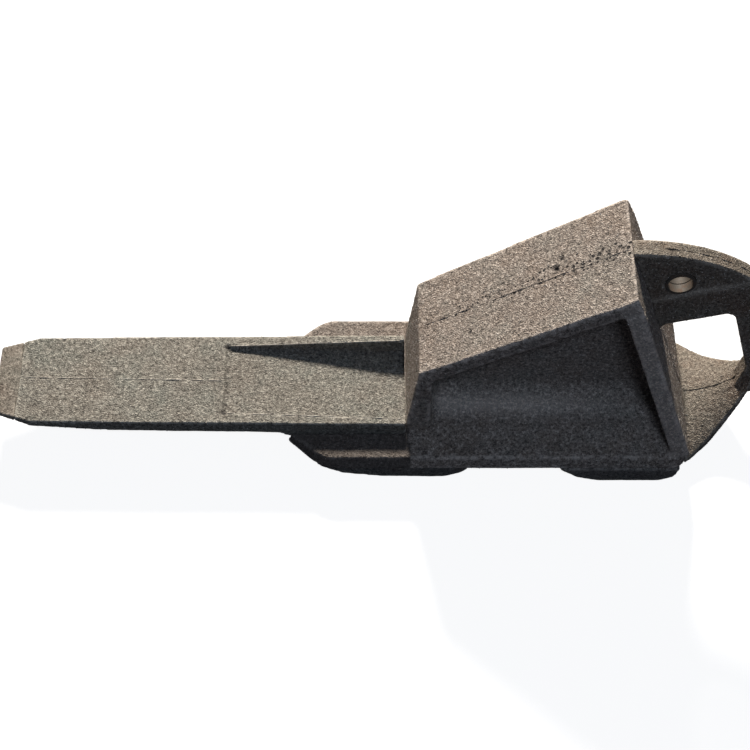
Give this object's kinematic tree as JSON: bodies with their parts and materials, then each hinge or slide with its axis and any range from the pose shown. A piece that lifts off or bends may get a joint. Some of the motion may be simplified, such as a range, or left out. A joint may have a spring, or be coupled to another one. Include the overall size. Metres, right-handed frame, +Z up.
{
  "type": "excavator bucket tooth",
  "caption": "Bucket tooth with a long chisel point in a cast wedge-shaped holder, with a pierced lug behind, wear pads below and hidden fasteners.",
  "frame": {"origin": "on the ground plane under the middle of the tooth's length and width, at the undersides of the wear pads", "axes": "+X towards the lug at the back, +Y across the tooth, +Z up, mirror plane Y = 0"},
  "size_m": [0.47, 0.104, 0.1617],
  "materials": {
    "point_casting": "raw sand-cast steel, shot blasted, warm grey",
    "tip_alloy": "hard alloy steel, slightly pink tint, brazed",
    "holder_casting": "raw sand-cast steel, shot blasted, warm brown grey",
    "lug_casting": "raw sand-cast steel, browner than the holder",
    "pad_casting": "raw sand-cast steel, dark",
    "bush_steel": "turned steel, dull with oxide",
    "screw_steel": "black oxide"
  },
  "bodies": {
    "holder_body": {"holder": "holder_casting", "rear_lug": "lug_casting", "lug_bush_left": "bush_steel", "lug_bush_right": "bush_steel", "front_pad": "pad_casting", "rear_pad": "pad_casting", "front_pad_screws": "screw_steel", "rear_pad_screws": "screw_steel", "lug_screws": "screw_steel", "lug_washers": "screw_steel"},
    "point_body": {"point": "point_casting", "tip_insert": "tip_alloy"},
    "lock_body": {"lock_screw": "screw_steel"}
  },
  "joints": [
    {"name": "point_slide", "type": "slide", "parent": "holder_body", "child": "point_body", "axis": [-1, 0, 0], "range_m": [0, 0.085]},
    {"name": "lock_screw_travel", "type": "slide", "parent": "holder_body", "child": "lock_body", "axis": [0, 0, -1], "range_m": [0, 0.0035]}
  ]
}
